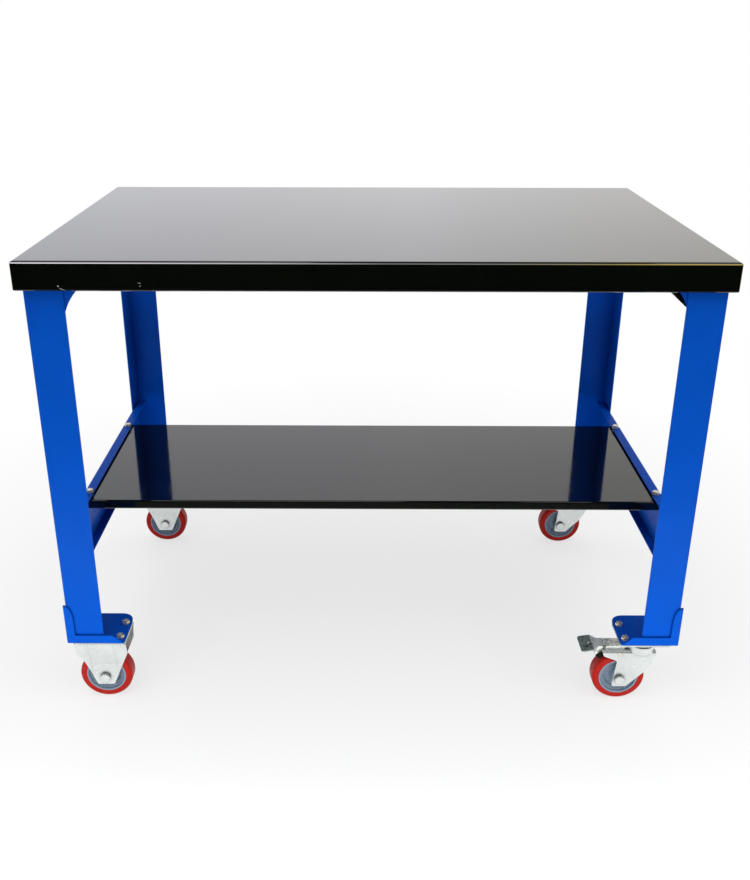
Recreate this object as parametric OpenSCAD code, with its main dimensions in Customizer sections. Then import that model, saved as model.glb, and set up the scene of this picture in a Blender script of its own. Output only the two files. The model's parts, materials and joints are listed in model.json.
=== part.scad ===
// Mobile workbench: a folded steel worktop on two welded end frames, with an undershelf,
// two fixed castors at the left end and two braked swivel castors at the right end.
// Millimetres. X runs from left to right, Y from front to back and Z up from the floor.
// The origin is on the floor, under the middle of the worktop.

/* [Worktop] */
// Length of the worktop
bench_w = 1200; // [1000:10:1600]
// Depth of the worktop
bench_d = 750; // [700:10:900]
// Height of the worktop above the floor
bench_h = 905; // [820:5:1000]
// Height of the worktop's turned-down skirt
tray_edge = 51; // [44:1:60]
// Sheet thickness of the worktop
tray_t = 2; // [1.5:0.1:2.5]
// Outer radius of the worktop's folded edges
tray_r = 5.5; // [3:0.5:6]
// Outer radius of the worktop's upright corners
tray_corner = 3; // [2.5:0.5:6]
// Width of the channel of each stiffener under the worktop
hat_w = 60; // [40:2:90]
// Depth of the worktop's stiffeners
hat_h = 22; // [15:1:30]
// Width of the stiffeners' side flanges
hat_flange = 15; // [10:1:25]
// Sheet thickness of the stiffeners
hat_t = 1.5; // [1:0.1:2.5]
// Distance of each worktop stiffener from the middle of the bench
hat_y = 125; // [70:5:180]
// Gap between a stiffener's end and the rails' flanges
hat_end_gap = 5; // [1:1:30]

/* [Legs] */
// Width of each flange of the angle-section legs
leg_w = 68; // [60:1:80]
// Sheet thickness of the legs
leg_t = 2.5; // [2:0.1:3.5]
// Outer bend radius of the legs
leg_r = 4.5; // [4:0.5:8]
// Distance from the worktop's end to the legs
leg_inset_x = 9; // [8:1:20]
// Distance from the worktop's front or back edge to the legs
leg_inset_y = 20; // [12:1:40]

/* [Rails] */
// Flange width of the channel-section rails
rail_w = 20; // [20:1:26]
// Sheet thickness of the rails
rail_t = 2.5; // [2:0.1:3]
// Outer bend radius of the rails
rail_r = 4; // [3.5:0.5:5]
// Depth of the lower side rails
side_rail_h = 112; // [80:1:130]
// Height of the lower side rails' upper face above the floor
side_rail_top = 378; // [330:1:450]
// Depth of the four top rails
top_rail_h = 40; // [34:1:42]
// Gap between a side rail's end and the leg, which clears the leg's bend
rail_end_gap = 6; // [5:0.5:12]

/* [Gussets] */
// Sheet thickness of the blue gussets
gusset_t = 2.5; // [2:0.1:4]
// Lap of a gusset on the leg's flange
gusset_lap = 30; // [20:1:40]
// Reach of a gusset along the long top rail
gusset_reach = 38; // [25:1:60]
// Drop of a gusset below the long top rail
gusset_drop = 49; // [35:1:70]
// Reach of the smaller gusset at the front right corner
small_gusset_reach = 26; // [15:1:40]
// Drop of the smaller gusset at the front right corner
small_gusset_drop = 37; // [25:1:50]
// Radius of a gusset's hollow edge
gusset_r = 100; // [70:5:300]
// Sheet thickness of the black corner brace
brace_t = 2; // [1.5:0.1:3]
// Reach of the corner brace along the long top rail
brace_reach = 44; // [40:1:70]
// Drop of the corner brace below the long top rail
brace_drop = 43; // [35:1:60]
// Width of the corner brace's lower end
brace_foot = 26; // [10:1:28]

/* [Foot brackets] */
// Width of a foot bracket along the bench
foot_w = 111; // [110:1:130]
// Depth of a foot bracket across the bench
foot_d = 103; // [96:1:120]
// Sheet thickness of the foot brackets
foot_t = 3; // [2.5:0.1:4]
// Height of the low lip round a foot bracket
foot_lip = 20; // [14:1:25]
// Height of the tall ear at the bracket's outer corner
ear_h = 85; // [60:1:100]
// Width of the ear
ear_w = 18; // [14:1:25]
// Height over which the ear's top curves away
ear_curve = 36; // [20:1:40]
// Width of the ear's flat top
ear_top = 6; // [1:0.5:8]
// Radius between the ear and the low lip
ear_fillet = 3; // [1:0.5:5]
// Length of the bevel at the free end of each lip
foot_bevel = 21; // [10:1:25]
// Corner radius at the bracket's inner corner
foot_corner = 24; // [6:1:26]
// Outer bend radius between a bracket's base and its lips
foot_r = 6; // [4.5:0.5:8]
// Gap between the leg and the bracket's lips
lip_gap = 1.5; // [0.3:0.1:2]

/* [Undershelf] */
// Depth of the undershelf from front to back
shelf_d = 394; // [380:2:440]
// Distance of the undershelf's middle behind the middle of the bench
shelf_shift = 5; // [-20:1:20]
// Height of the undershelf's turned-down edges
shelf_edge = 19; // [18:1:30]
// Sheet thickness of the undershelf
shelf_t = 1.5; // [1:0.1:2]
// Outer radius of the undershelf's folded edges
shelf_r = 3; // [2.5:0.5:4]
// Width of the undershelf's turned-in hems
shelf_hem = 12; // [8:1:16]
// Thickness of the spacing washers between the undershelf and the rails
shelf_gap = 3; // [1:0.5:6]
// Gap between the undershelf's ends and the rails' webs
shelf_end_gap = 1.5; // [1:0.5:4]
// Distance from the undershelf's front or back edge to its bolts
shelf_bolt_edge = 25; // [14:1:45]
// Distance from a rail's web to the undershelf's bolts
shelf_bolt_inset = 12.5; // [12.5:0.5:14]
// Depth of the undershelf's stiffener
shelf_hat_h = 14; // [10:1:16]
// Channel width of the undershelf's stiffener
shelf_hat_w = 50; // [30:2:80]

/* [Castor plates] */
// Height of the castors' top face above the wheels' tops
plate_rise = 40; // [40:1:50]
// Length of a castor's top plate
plate_l = 101; // [100:1:106]
// Width of a castor's top plate
plate_w = 80; // [78:1:84]
// Thickness of a castor's top plate
plate_t = 3.5; // [3:0.1:4]
// Corner radius of a castor's top plate
plate_corner = 8; // [4:1:10]
// Distance between the bolt holes along the plate
hole_l = 78; // [76:1:80]
// Distance between the bolt holes across the plate
hole_w = 48; // [46:1:50]
// Distance from the leg's outer face to the plate's middle, along the bench
castor_inset_x = 57; // [55:1:60]
// Distance from the leg's outer face to the plate's middle, across the bench
castor_inset_y = 39; // [38:1:44]
// Sheet thickness of the forks
fork_t = 3; // [2.5:0.1:3.2]

/* [Wheels] */
// Diameter of the tyres
wheel_d = 104; // [96:1:110]
// Width of the tyres
wheel_w = 33; // [28:1:33]
// Radius of the tyres' rounded shoulders
tyre_shoulder = 7; // [3:0.5:7]
// Diameter of the wheel cores, where the tyres sit
core_d = 78; // [74:1:80]
// Length of the wheel hubs
hub_l = 36; // [35:0.5:37]
// Diameter of the wheel hubs
hub_d = 29; // [28:0.5:32]
// Gap between a hub's end and the fork
hub_gap = 0.5; // [0.3:0.1:1]
// Outer diameter of the wheel bearings
bearing_d = 24; // [22:1:26]
// Width of the wheel bearings
bearing_w = 8; // [6:0.5:10]
// Diameter of the axle bolts
axle_d = 10; // [8:1:10]
// Wall of the spacer tube between a wheel's bearings
spacer_wall = 1.5; // [1:0.1:2]

/* [Fixed forks] */
// Width of the raised panel on a fixed fork's legs
panel_w = 46; // [36:1:50]
// Width of the sloping flank on each side of the panel
panel_flank = 3; // [2:0.5:5]
// Height of the raised panel above the wings of the leg
panel_step = 1.5; // [1:0.1:1.6]
// Distance from the plate's edge in to the raised panel
panel_inset = 0.5; // [0.3:0.1:1]
// Distance from the axle up to the bend of a fixed fork's legs
knee_rise = 30; // [22:1:36]
// Distance from the top plate's upper face down to a fixed fork's shoulders
shoulder_drop = 31; // [20:1:36]
// Width of a fixed fork's lower end
tip_w = 33; // [28:1:40]
// Distance from the axle down to the lower end of the forks
tip_drop = 18.5; // [14:0.5:22]

/* [Swivel forks] */
// Distance of the axle ahead of the kingpin
swivel_offset = 40; // [38:1:44]
// Height of a swivel fork's web above the wheel's top
web_rise = 14; // [14:1:17]
// Distance of the arm's end ahead of the axle
arm_reach = 40; // [34:1:44]
// Depth of the arm at its end
arm_drop = 13; // [11:1:15]
// Depth of the fork below the web at the inner corner of the arm
notch_drop = 24; // [20:1:28]
// Diameter of the cup that holds the balls
cup_d = 58; // [54:1:60]
// Height of the cup above the fork's web
cup_rise = 10; // [9:1:11]
// Depth of the cup below the fork's web
cup_drop = 7; // [4:1:8]
// Wall of the cup
cup_wall = 2.5; // [2:0.1:3]
// Diameter of the kingpins
kingpin_d = 12; // [10:0.5:14]
// Balls in each race
ball_count = 14; // [8:1:16]
// Diameter of the balls
ball_d = 6.4; // [5:0.2:6.4]

/* [Brake pedals] */
// Distance of the tread's end ahead of the axle
pedal_reach = 81; // [78:1:86]
// Height of the pedal's upper face above the wheel's top
pedal_rise = 20; // [20:0.5:21]
// Width of the pedal's tread
tread_w = 50; // [40:1:60]
// Length of the pedal's tread
tread_l = 24; // [20:1:26]
// Drop of the tread's outer end
tread_drop = 4; // [0:0.5:6]
// Distance from the tread's end to its hole
tread_hole_in = 18; // [10:1:20]
// Diameter of the hole in the tread
tread_hole_d = 5; // [3:0.5:8]
// Width of the pedal's lever
pedal_w = 27; // [25:1:28]
// Length over which the lever widens into the tread
pedal_neck = 12; // [8:1:14]
// Sheet thickness of the pedal
pedal_t = 2.5; // [2:0.1:3]
// Diameter of the round hole in the lever's top
lever_hole_d = 8; // [4:0.5:10]
// Distance of the lever's hole ahead of the axle
lever_hole_ahead = 33; // [30:1:36]
// Radius of the two ribs pressed across the lever's top
rib_r = 2; // [1.5:0.1:2.5]
// Distance between the ribs, and from the hole's edge to the first rib
rib_pitch = 8; // [6:0.5:9]
// Height of the ribs
rib_h = 1.2; // [0.6:0.1:1.4]
// Diameter of the pedal's pin
pedal_pin_d = 5; // [4:0.5:5]
// Height of the pedal's pin above the wheel's top
pin_rise = 6; // [6:0.5:6.5]
// Distance of the pedal's pin ahead of the axle
pin_ahead = 3; // [1:0.5:5]
// Gap between the tyre's top and the lugs round the pin
lug_gap = 1.2; // [1:0.1:1.4]
// Angle of the brake pad round the wheel, from the back
pad_angle = 130; // [129:0.5:131]
// Gap between the brake pad and the tyre when the pedal is up
pad_gap = 7.5; // [7.5:0.5:8]
// Height and length of the brake pad
pad_size = 12; // [10:1:12]
// Width of the brake pad
pad_w = 28; // [22:1:32]
// Wire diameter of the pedal's return spring
spring_wire = 1.2; // [1:0.1:1.4]
// Turns of the pedal's return spring
spring_turns = 4; // [2:1:6]
// Length of the spring's straight ends
spring_leg = 8; // [5:0.5:9]

/* [Fasteners] */
// Diameter of the undershelf's bolts
shelf_bolt_d = 8; // [8:1:10]
// Diameter of the castors' bolts
castor_bolt_d = 8; // [6:1:8]
// Diameter of the studs under the worktop
stud_d = 6; // [5:1:8]
// Studs along each end of the worktop
stud_count = 3; // [2:1:5]
// Distance from a rail's end to its first stud
stud_end = 80; // [40:5:150]
// Thickness of the washers
washer_t = 1.6; // [1:0.1:2.5]
// Length of thread that stands out of the nuts
thread_end = 2.5; // [1:0.5:5]

/* [Clearances] */
// Radial running clearance of a bearing, kingpin or pivot pin
run_gap = 0.05; // [0.02:0.01:0.09]
// Gap between faces that slide past each other
slide_gap = 0.3; // [0.2:0.05:0.4]
// Radial clearance of a bolt in a plate
bolt_gap = 0.25; // [0.1:0.05:0.5]

/* [Hidden] */
$fn = 96;
// How far a cutting solid runs past the faces that it cuts
cut = 1;
// Straight steps in each rounded corner of an outline
arc_steps = 5;

blue = [0.03, 0.27, 0.80];
black = [0.06, 0.06, 0.07];
zinc = [0.80, 0.82, 0.80];
steel = [0.55, 0.57, 0.58];
red = [0.74, 0.11, 0.07];
grey = [0.47, 0.56, 0.62];
rubber = [0.05, 0.05, 0.05];

// Heights
axle_z = wheel_d/2;
castor_h = wheel_d + plate_rise;
plate_z = castor_h - plate_t;
foot_top = castor_h + foot_t;
tray_under = bench_h - tray_t;
top_rail_z = tray_under - top_rail_h;
shelf_z = side_rail_top - rail_t - shelf_gap;

// Frame
leg_x = bench_w/2 - leg_inset_x;
leg_y = bench_d/2 - leg_inset_y;
rail_x = leg_x - leg_t;
long_rail_y = leg_y - leg_t;
rail_len = 2*(long_rail_y - rail_end_gap);
long_rail_len = 2*(rail_x - rail_w - slide_gap);
tray_lip = leg_inset_x - 1;
hat_len = 2*(rail_x - rail_w - hat_end_gap);
shelf_len = 2*(rail_x - rail_t - shelf_end_gap);
shelf_bolt_x = rail_x - shelf_bolt_inset;
shelf_bolt_y = shelf_d/2 - shelf_bolt_edge;
stud_x = rail_x - rail_w/2;
stud_pitch = (rail_len - 2*stud_end)/(stud_count - 1);

// Castors
castor_x = leg_x - castor_inset_x;
castor_y = leg_y - castor_inset_y;
gap_half = hub_l/2 + hub_gap;
arm_half = gap_half + fork_t;
bore_half = hub_l/2 - bearing_w;
spacer_r = axle_d/2 + run_gap + spacer_wall;
web_z = wheel_d + web_rise;
fork_back = swivel_offset + cup_d/2 - 2;
slot_back = swivel_offset - cup_d/2 - slide_gap;
slot_half = pedal_w/2 + 1;
cup_inner_r = cup_d/2 - cup_wall;
race_r = cup_inner_r - ball_d - 2*slide_gap;

// Brake, measured from the kingpin
pin_x = -swivel_offset - pin_ahead;
pin_z = wheel_d + pin_rise;
pedal_z = wheel_d + pedal_rise;
pedal_back = slot_back - swivel_offset - 4;
tread_end = -swivel_offset - pedal_reach;
lever_hole_x = -swivel_offset - lever_hole_ahead;
pad_face = wheel_d/2 + pad_gap;
pad_seat = pad_face + pad_size;
spring_r = pedal_pin_d/2 + slide_gap + spring_wire/2;

// Ends of the bench and depths, with their signs in X and Y
ENDS = [["left", -1], ["right", 1]];
DEPTHS = [["front", -1], ["rear", 1]];
CORNERS = [for (d = DEPTHS, e = ENDS) [str(d[0], "_", e[0]), e[1], d[1]]];
FRONT_RIGHT = CORNERS[1];

SWIVEL_PARTS = ["swivel_plate", "swivel_fork", "swivel_axle_bolt", "swivel_axle_nut",
    "brake_pedal", "brake_pad", "pedal_pin", "pedal_spring"];

// Width across the flats of the head or nut of a screw of diameter d
function flats(d) = d == 10 ? 17 : d == 8 ? 13 : 1.6*d;
function head_h(d) = 0.64*d;
function nut_h(d) = 0.8*d;

function unit(v) = v/norm(v);

// Arc of radius r that rounds the corner b of the path a, b, c
function corner_arc(a, b, c, r, steps = arc_steps) =
    let (u = unit(a - b), v = unit(c - b), half = acos(u*v)/2)
    let (m = b + unit(u + v)*r/sin(half), p = b + u*r/tan(half) - m, q = b + v*r/tan(half) - m)
    let (start = atan2(p[1], p[0]), turn = atan2(p[0]*q[1] - p[1]*q[0], p*q))
    [for (i = [0:steps]) m + r*[cos(start + turn*i/steps), sin(start + turn*i/steps)]];

// Outline with a radius at each corner; a radius of 0 keeps the corner sharp
function rounded(pts, radii, steps = arc_steps) = [for (i = [0:len(pts) - 1])
    let (n = len(pts), a = pts[(i + n - 1) % n], c = pts[(i + 1) % n])
    each radii[i] > 0 ? corner_arc(a, pts[i], c, radii[i], steps) : [pts[i]]];

// Shallow arc of radius r from p to q, with its middle point on the left of the way
function hollow_arc(p, q, r, steps = 8) =
    let (d = unit(q - p), h = sqrt(r*r - (q - p)*(q - p)/4), m = (p + q)/2 + h*[-d[1], d[0]])
    let (from = atan2(p[1] - m[1], p[0] - m[0]), to = atan2(q[1] - m[1], q[0] - m[0]))
    [for (i = [0:steps]) m + r*[cos(from + (to - from)*i/steps), sin(from + (to - from)*i/steps)]];

// Places

module along_x(l) translate([-l/2, 0, 0]) rotate([90, 0, 90]) linear_extrude(l) children();

module along_y(l) translate([0, l/2, 0]) rotate([90, 0, 0]) linear_extrude(l) children();

// Turns the z axis to the front, which is the way an axle bolt's head points
module to_front() rotate([90, 0, 0]) children();

// Puts what is made at the right rear corner at the corner c
module at_corner(c) mirror([c[1] < 0 ? 1 : 0, 0, 0]) mirror([0, c[2] < 0 ? 1 : 0, 0]) children();

module at_end(e) mirror([e[1] < 0 ? 1 : 0, 0, 0]) children();

module at_fixed(d) translate([-castor_x, d[1]*castor_y, 0]) children();

module at_swivel(d) translate([castor_x, d[1]*castor_y, 0]) children();

module at_wheel(c)
    translate([c[1] < 0 ? -castor_x : castor_x - swivel_offset, c[2]*castor_y, axle_z]) children();

module at_castors() for (x = [-castor_x, castor_x], y = [-castor_y, castor_y]) translate([x, y, 0]) children();

module at_plate_holes() for (x = [-hole_l/2, hole_l/2], y = [-hole_w/2, hole_w/2]) translate([x, y, 0]) children();

module at_shelf_bolts() for (x = [-shelf_bolt_x, shelf_bolt_x], y = [-shelf_bolt_y, shelf_bolt_y])
    translate([x, y + shelf_shift, 0]) children();

module at_studs() for (x = [-stud_x, stud_x], i = [0:stud_count - 1])
    translate([x, (i - (stud_count - 1)/2)*stud_pitch, 0]) children();

// Sections and simple solids

// Angle section with its outer corner at the origin and its flanges towards -X and -Y
module angle_section(w, t, r)
    polygon(rounded([[0, 0], [-w, 0], [-w, -t], [-t, -t], [-t, -w], [0, -w]], [r, 0, 0, r - t, 0, 0]));

// Channel section with its web on x = 0 and its flanges towards -X
module channel_section(h, w, t, r)
    polygon(rounded([[0, 0], [0, h], [-w, h], [-w, h - t], [-t, h - t], [-t, t], [-w, t], [-w, 0]],
        [r, r, 0, 0, r - t, r - t, 0, 0]));

// Hat section that hangs from y = 0
module hat_section(w, h, f, t)
    polygon([[-w/2 - f, 0], [-w/2 + t, 0], [-w/2 + t, t - h], [w/2 - t, t - h], [w/2 - t, 0], [w/2 + f, 0],
        [w/2 + f, -t], [w/2, -t], [w/2, -h], [-w/2, -h], [-w/2, -t], [-w/2 - f, -t]]);

module round_rect(w, d, r)
    polygon(rounded([[-w/2, -d/2], [w/2, -d/2], [w/2, d/2], [-w/2, d/2]], [r, r, r, r]));

// Block that stands on z = 0, with edges of radius r and upright corners of radius c
module soft_block(w, d, h, r, c) intersection() {
    translate([0, 0, h/2]) along_y(d) round_rect(w, h, r);
    translate([0, 0, h/2]) along_x(w) round_rect(d, h, r);
    linear_extrude(h) round_rect(w, d, c);
}

module hexagon(af, h) linear_extrude(h) circle(r = af/sqrt(3), $fn = 6);

module tube(r_out, r_in, h) difference() {
    cylinder(r = r_out, h = h);
    translate([0, 0, -cut]) cylinder(r = r_in, h = h + 2*cut);
}

// Bolt with its bevelled head on z = 0 and its shank of length l below
module hex_bolt(d, l) {
    corner = flats(d)/sqrt(3);
    intersection() {
        hexagon(flats(d), head_h(d));
        rotate_extrude() polygon([[0, 0], [corner, 0], [corner, 0.8*head_h(d)],
            [0.46*flats(d), head_h(d)], [0, head_h(d)]]);
    }
    translate([0, 0, -l]) cylinder(d = d, h = l);
}

module hex_nut(d) difference() {
    hexagon(flats(d), nut_h(d));
    translate([0, 0, -cut]) cylinder(d = d, h = nut_h(d) + 2*cut);
}

// Closed solid of a wire of radius r along a path that lies nearly in an XZ plane
module wire(path, r, sides = 6) {
    last = len(path) - 1;
    function way(i) = unit(path[min(i + 1, last)] - path[max(i - 1, 0)]);
    function across(i) = unit(cross(way(i), [0, 1, 0]));
    function spoke(i, a) = cos(a)*across(i) + sin(a)*cross(way(i), across(i));
    points = [for (i = [0:last], k = [0:sides - 1]) path[i] + r*spoke(i, 360*k/sides)];
    first_cap = [for (k = [0:sides - 1]) k];
    last_cap = [for (k = [sides - 1:-1:0]) last*sides + k];
    rings = [for (i = [0:last - 1], k = [0:sides - 1])
        let (a = i*sides + k, b = a + sides, c = i*sides + (k + 1) % sides)
        each [[a, b, c + sides], [a, c + sides, c]]];
    polyhedron(points, concat([first_cap, last_cap], rings));
}

// Worktop

module worktop_tray() color(black) translate([0, 0, bench_h - tray_edge]) {
    difference() {
        soft_block(bench_w, bench_d, tray_edge, tray_r, tray_corner);
        translate([0, 0, tray_t])
            soft_block(bench_w - 2*tray_t, bench_d - 2*tray_t, tray_edge - 2*tray_t, tray_r - tray_t,
                tray_corner - tray_t);
        translate([0, 0, tray_t/2])
            cube([bench_w - 2*tray_lip, bench_d - 2*tray_lip, tray_t + cut], center = true);
    }
    stud_h = rail_t + washer_t + nut_h(stud_d) + thread_end;
    translate([0, 0, tray_edge - tray_t - stud_h]) at_studs() cylinder(d = stud_d, h = stud_h + cut);
}

module worktop_stiffeners() color(black) for (y = [-hat_y, hat_y])
    translate([0, y, tray_under]) along_x(hat_len) hat_section(hat_w, hat_h, hat_flange, hat_t);

module worktop_nuts() color(zinc) {
    h = nut_h(stud_d) + washer_t;
    translate([0, 0, tray_under - rail_t - h]) at_studs() difference() {
        union() {
            hexagon(flats(stud_d), h);
            translate([0, 0, nut_h(stud_d)]) cylinder(d = 2*stud_d, h = washer_t);
        }
        translate([0, 0, -cut]) cylinder(d = stud_d, h = h + 2*cut);
    }
}

// End frames

module leg(c) color(blue) at_corner(c) translate([leg_x, leg_y, foot_top])
    linear_extrude(tray_under - foot_top) angle_section(leg_w, leg_t, leg_r);

module side_rail(e, h) at_end(e) translate([rail_x, 0, 0]) along_y(rail_len)
    channel_section(h, rail_w, rail_t, rail_r);

module lower_side_rail(e) color(blue) difference() {
    translate([0, 0, side_rail_top - side_rail_h]) side_rail(e, side_rail_h);
    translate([0, 0, side_rail_top - rail_t - cut]) at_shelf_bolts()
        cylinder(r = shelf_bolt_d/2 + bolt_gap, h = rail_t + 2*cut);
}

module top_side_rail(e) color(blue) difference() {
    translate([0, 0, top_rail_z]) side_rail(e, top_rail_h);
    translate([0, 0, tray_under - rail_t - cut]) at_studs()
        cylinder(r = stud_d/2 + bolt_gap, h = rail_t + 2*cut);
}

module top_long_rail(d) color(blue) mirror([0, d[1] < 0 ? 1 : 0, 0])
    translate([0, long_rail_y, top_rail_z]) along_x(long_rail_len)
        channel_section(top_rail_h, rail_w, rail_t, rail_r);

module gussets() color(blue) for (c = CORNERS) at_corner(c) {
    reach = c == FRONT_RIGHT ? small_gusset_reach : gusset_reach;
    drop = c == FRONT_RIGHT ? small_gusset_drop : gusset_drop;
    translate([leg_x - leg_w, long_rail_y - gusset_t/2, top_rail_z]) along_y(gusset_t)
        polygon(concat([[gusset_lap, 0], [gusset_lap, -drop]], hollow_arc([0, -drop], [-reach, 0], gusset_r)));
}

module corner_brace() color(black) at_corner(FRONT_RIGHT)
    translate([leg_x - leg_w + gusset_lap, long_rail_y - gusset_t - brace_t/2, top_rail_z]) along_y(brace_t)
        polygon([[0, 0], [0, -brace_drop], [-brace_foot, -brace_drop], [-gusset_lap - brace_reach, 0]]);

// Outline of a foot bracket's lip, from the bracket's outer corner along a side of length l
function lip_outline(l) = concat(
    [[0, 0], [0, ear_h]],
    [for (a = [90:-10:0]) [ear_top + (ear_w - ear_top)*cos(a), ear_h - ear_curve + ear_curve*sin(a)]],
    corner_arc([ear_w, ear_h], [ear_w, foot_lip], [l, foot_lip], ear_fillet),
    [[l - foot_bevel, foot_lip], [l, foot_t], [l, 0]]
);

// Folded blank with its outer corner at the origin, before its edges are rounded
module foot_blank() {
    translate([-foot_w, -foot_d, 0]) cube([foot_w, foot_d, foot_t]);
    translate([0, -foot_t/2, 0]) mirror([1, 0, 0]) along_y(foot_t) polygon(lip_outline(foot_w));
    translate([-foot_t/2, 0, 0]) mirror([0, 1, 0]) along_x(foot_t) polygon(lip_outline(foot_d));
}

// Space with the outer bends of a foot bracket of width w, for either side
module foot_bends(w) polygon(rounded([[-w, 0], [0, 0], [0, ear_h], [-w, ear_h]], [0, foot_r, 0, 0]));

module foot_bracket(c) color(blue) at_corner(c) difference() {
    side = foot_t + lip_gap;
    translate([leg_x + side, leg_y + side, castor_h]) intersection() {
        foot_blank();
        along_y(2*foot_d) foot_bends(foot_w);
        along_x(2*foot_w) foot_bends(foot_d);
        linear_extrude(ear_h) polygon(rounded([[0, 0], [-foot_w, 0], [-foot_w, -foot_d], [0, -foot_d]],
            [foot_r, 0, foot_corner, 0]));
    }
    translate([castor_x, castor_y, castor_h - cut]) at_plate_holes()
        cylinder(r = castor_bolt_d/2 + bolt_gap, h = foot_t + 2*cut);
}

// Undershelf

module shelf_section() {
    inner_w = shelf_d - 2*shelf_t;
    inner_h = shelf_edge - 2*shelf_t;
    translate([0, -shelf_edge/2]) difference() {
        round_rect(shelf_d, shelf_edge, shelf_r);
        round_rect(inner_w, inner_h, shelf_r - shelf_t);
        translate([shelf_hem - shelf_d/2, -shelf_edge/2 - cut])
            square([shelf_d - 2*shelf_hem, shelf_t + 2*cut]);
    }
}

module undershelf() color(black) difference() {
    translate([0, shelf_shift, shelf_z]) along_x(shelf_len) shelf_section();
    translate([0, 0, shelf_z - shelf_t - cut]) at_shelf_bolts()
        cylinder(r = shelf_bolt_d/2 + bolt_gap, h = shelf_t + 2*cut);
}

module undershelf_stiffener() color(black) translate([0, shelf_shift, shelf_z - shelf_t])
    along_x(hat_len) hat_section(shelf_hat_w, shelf_hat_h, hat_flange, hat_t);

module undershelf_bolts() color(zinc) {
    grip = washer_t + rail_t + shelf_gap + shelf_t;
    translate([0, 0, side_rail_top + washer_t]) at_shelf_bolts()
        hex_bolt(shelf_bolt_d, grip + nut_h(shelf_bolt_d) + thread_end);
}

module undershelf_nuts() color(zinc) translate([0, 0, shelf_z - shelf_t - nut_h(shelf_bolt_d)])
    at_shelf_bolts() hex_nut(shelf_bolt_d);

// A wide washer on each rail and a thick spacing washer below it
module undershelf_washers() color(zinc) at_shelf_bolts() {
    translate([0, 0, side_rail_top]) tube(0.9*shelf_bolt_d, shelf_bolt_d/2, washer_t);
    translate([0, 0, shelf_z]) tube(0.8*shelf_bolt_d, shelf_bolt_d/2, shelf_gap);
}

// Castor fasteners and axles

// Bolts that point up, each with a captive washer under its head
module castor_bolts() color(zinc) at_castors() at_plate_holes() {
    grip = washer_t + plate_t + foot_t;
    translate([0, 0, plate_z - washer_t]) rotate([180, 0, 0])
        hex_bolt(castor_bolt_d, grip + nut_h(castor_bolt_d) + thread_end);
    translate([0, 0, plate_z - washer_t]) cylinder(r = 0.9*castor_bolt_d, h = washer_t);
}

module castor_nuts() color(zinc) at_castors() at_plate_holes() translate([0, 0, foot_top])
    hex_nut(castor_bolt_d);

module castor_plate() translate([0, 0, plate_z]) difference() {
    linear_extrude(plate_t) round_rect(plate_l, plate_w, plate_corner);
    translate([0, 0, -cut]) at_plate_holes() cylinder(r = castor_bolt_d/2 + bolt_gap, h = plate_t + 2*cut);
}

module axle_bolt() color(zinc) translate([0, 0, axle_z]) to_front() translate([0, 0, arm_half])
    hex_bolt(axle_d, 2*arm_half + nut_h(axle_d) + thread_end);

module axle_nut() color(zinc) translate([0, 0, axle_z]) to_front() translate([0, 0, -arm_half - nut_h(axle_d)])
    hex_nut(axle_d);

// Hole of diameter d through both arms of a fork, at the height z
module cross_hole(d, z) translate([0, 0, z]) to_front() translate([0, 0, -2*arm_half])
    cylinder(d = d, h = 4*arm_half);

// Fixed castors

// Plan of one leg's sheet, with its raised panel on y = 0 and the wings set back
module leg_plan() {
    edge = plate_l/2;
    flank = panel_w/2 + panel_flank;
    polygon([[-edge, -panel_step], [-flank, -panel_step], [-panel_w/2, 0], [panel_w/2, 0],
        [flank, -panel_step], [edge, -panel_step], [edge, -panel_step - fork_t], [flank, -panel_step - fork_t],
        [panel_w/2, -fork_t], [-panel_w/2, -fork_t], [-flank, -panel_step - fork_t],
        [-edge, -panel_step - fork_t]]);
}

// Back leg of a fixed fork: upright up to the knee, and leaning out from there to the plate's edge
module fixed_leg() {
    knee = axle_z + knee_rise;
    lean = plate_w/2 - panel_inset - arm_half;
    bend = atan2(lean, plate_z - knee);
    mitre = (fork_t + panel_step)*tan(bend/2);
    translate([0, arm_half, 0]) linear_extrude(knee + mitre) leg_plan();
    translate([0, arm_half, knee]) rotate([-bend, 0, 0]) translate([0, 0, -mitre])
        linear_extrude(plate_w) leg_plan();
}

module fixed_outline() {
    shoulder_z = castor_h - shoulder_drop;
    tip_z = axle_z - tip_drop;
    polygon(rounded([[-plate_l/2, plate_z], [-plate_l/2, shoulder_z], [-tip_w/2, tip_z],
        [tip_w/2, tip_z], [plate_l/2, shoulder_z], [plate_l/2, plate_z]], [0, 6, 4, 4, 6, 0]));
}

module fixed_fork(d) color(zinc) at_fixed(d) difference() {
    union() {
        castor_plate();
        intersection() {
            along_y(plate_w) fixed_outline();
            for (s = [0, 1]) mirror([0, s, 0]) fixed_leg();
        }
    }
    cross_hole(axle_d, axle_z);
}

// Swivel castors

// Top plate with the upper half of its ball race
module swivel_plate(d) color(zinc) at_swivel(d) difference() {
    skirt_z = web_z + cup_rise + slide_gap;
    union() {
        castor_plate();
        rotate_extrude() polygon([[0, web_z + slide_gap], [race_r, web_z + slide_gap], [race_r, skirt_z],
            [cup_inner_r, skirt_z], [cup_inner_r + 2, plate_z], [0, plate_z]]);
    }
    translate([0, 0, web_z]) cylinder(d = kingpin_d, h = castor_h);
}

module kingpins() color(zinc) {
    under_web = web_z - fork_t - slide_gap;
    for (d = DEPTHS) at_swivel(d) {
        translate([0, 0, under_web - 5]) cylinder(d = 1.7*kingpin_d, h = 5);
        translate([0, 0, under_web]) cylinder(d = kingpin_d, h = castor_h - under_web);
    }
}

module race_balls() color(zinc) for (d = DEPTHS) at_swivel(d)
    for (i = [0:ball_count - 1]) rotate(360*i/ball_count)
        translate([(race_r + cup_inner_r)/2, 0, web_z + slide_gap + ball_d/2]) sphere(d = ball_d);

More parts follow.
